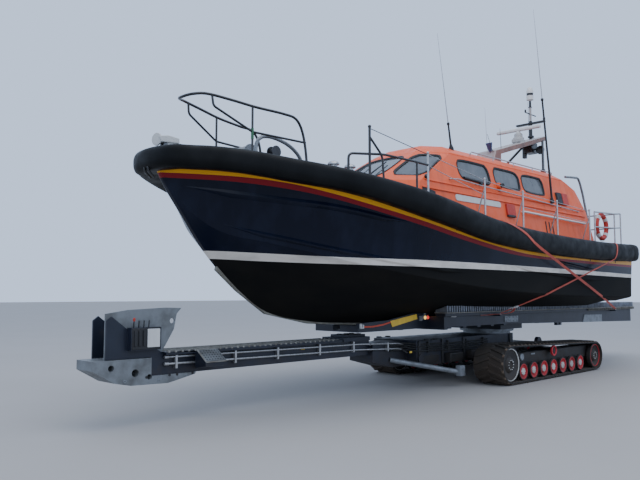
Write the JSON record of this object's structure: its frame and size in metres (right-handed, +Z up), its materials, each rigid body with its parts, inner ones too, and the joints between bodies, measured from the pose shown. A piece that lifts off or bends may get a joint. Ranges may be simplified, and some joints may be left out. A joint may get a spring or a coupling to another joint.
{
  "type": "all-weather lifeboat on a tracked launching carriage",
  "caption": "Waterjet lifeboat with a fender belt, wheelhouse and mast, held by straps on the roller cradle of a tracked carriage with a long drawbar.",
  "frame": {"origin": "centre of the box round the boat and carriage, on the ground", "axes": "+X aft along the boat and carriage, +Y to starboard, +Z up"},
  "size_m": [17, 4.5896, 8.9216],
  "materials": {
    "hull_paint": "moulded composite, dark navy gloss above, black bottom",
    "fender_rubber": "satin black moulded foam skin",
    "keel_bar": "scraped grey",
    "orange_paint": "moulded composite, faded orange satin",
    "tinted_glass": "grey tinted",
    "cabin_trim": "dark matt",
    "seat_cover": "black vinyl cloth",
    "deck_grey": "moulded composite, grey non-slip",
    "black_tube": "black powder coat",
    "rail_steel": "dull stainless",
    "life_ring_red": "red with pale bands",
    "mast_grey": "pale grey, weathered",
    "white_plastic": "white",
    "aerial_black": "black glass fibre",
    "galvanised": "galvanised, mottled",
    "jet_metal": "cast, dull",
    "strap_webbing": "red webbing",
    "track_rubber": "muddy rubber",
    "wheel_red": "red wheels with pale hubs",
    "carriage_navy": "dark navy, muddy",
    "marker_yellow": "yellow, blank",
    "lamp_amber": "amber and red lenses"
  },
  "bodies": {
    "root": {"hull": "hull_paint", "fender_belt": "fender_rubber", "stem_and_keel_bar": "keel_bar", "wheelhouse_shell": "orange_paint", "wheelhouse_roof": "orange_paint", "windscreen_pane": "tinted_glass", "port_corner_pane": "tinted_glass", "port_mid_pane": "tinted_glass", "port_after_pane": "tinted_glass", "port_aftmost_pane": "tinted_glass", "starboard_corner_pane": "tinted_glass", "starboard_mid_pane": "tinted_glass", "starboard_after_pane": "tinted_glass", "starboard_aftmost_pane": "tinted_glass", "aft_bulkhead": "orange_paint", "helm_console": "cabin_trim", "crew_seats": "seat_cover", "pulpit": "black_tube", "port_bow_frame": "black_tube", "starboard_bow_frame": "black_tube", "port_guard_rail": "rail_steel", "starboard_guard_rail": "rail_steel", "stern_rail": "rail_steel", "life_ring": "life_ring_red", "mast_frame": "mast_grey", "beacon_lantern": "white_plastic", "port_long_whip": "aerial_black", "port_fore_whip": "aerial_black", "starboard_whip": "aerial_black", "windlass": "galvanised", "bow_roller": "galvanised", "port_deck_vents": "rail_steel", "starboard_deck_vents": "rail_steel", "port_jet_housing": "jet_metal", "starboard_jet_housing": "jet_metal", "starboard_lashing_straps": "strap_webbing", "port_lashing_straps": "strap_webbing", "port_track_belt": "track_rubber", "port_track_frame": "wheel_red", "starboard_track_belt": "track_rubber", "starboard_track_frame": "wheel_red", "chassis_frame": "carriage_navy", "turntable": "galvanised", "cradle_bed": "carriage_navy", "port_roller_track": "galvanised", "starboard_roller_track": "galvanised", "drawbar": "carriage_navy", "drawbar_pipes": "rail_steel", "nose_marker": "marker_yellow", "nose_lamps": "lamp_amber", "nose_skid": "galvanised"},
    "radar": {"radar_scanner": "white_plastic"},
    "door": {"aft_door": "orange_paint"},
    "fore_lid": {"foredeck_hatch_lid": "deck_grey"},
    "aft_lid": {"aft_hatch_lid": "deck_grey"},
    "port_nozzle": {"port_jet_nozzle": "jet_metal"},
    "starboard_nozzle": {"starboard_jet_nozzle": "jet_metal"},
    "port_bucket": {"port_reversing_bucket": "jet_metal"},
    "starboard_bucket": {"starboard_reversing_bucket": "jet_metal"}
  },
  "joints": [
    {"name": "radar_turn", "type": "hinge", "parent": "root", "child": "radar", "pos_m": [3.64, 0, 6.2], "axis": [0, 0, 1], "continuous": true},
    {"name": "door_hinge", "type": "hinge", "parent": "root", "child": "door", "pos_m": [3.778, -0.355, 3.92], "axis": [0, 0, -1], "range_deg": [0, 110]},
    {"name": "fore_lid_hinge", "type": "hinge", "parent": "root", "child": "fore_lid", "pos_m": [-4.625, 0, 3.88075], "axis": [0, 1, 0], "range_deg": [0, 90]},
    {"name": "aft_lid_hinge", "type": "hinge", "parent": "root", "child": "aft_lid", "pos_m": [5.565, 0, 3.18842], "axis": [0, 1, 0], "range_deg": [0, 85]},
    {"name": "port_steering", "type": "hinge", "parent": "root", "child": "port_nozzle", "pos_m": [5.67, -0.76, 1.79], "axis": [0, 0, 1], "range_deg": [-25, 25]},
    {"name": "starboard_steering", "type": "hinge", "parent": "root", "child": "starboard_nozzle", "pos_m": [5.67, 0.76, 1.79], "axis": [0, 0, 1], "range_deg": [-25, 25]},
    {"name": "port_bucket_pin", "type": "hinge", "parent": "root", "child": "port_bucket", "pos_m": [5.65, -0.76, 1.79], "axis": [0, 1, 0], "range_deg": [0, 50]},
    {"name": "starboard_bucket_pin", "type": "hinge", "parent": "root", "child": "starboard_bucket", "pos_m": [5.65, 0.76, 1.79], "axis": [0, 1, 0], "range_deg": [0, 50]}
  ]
}
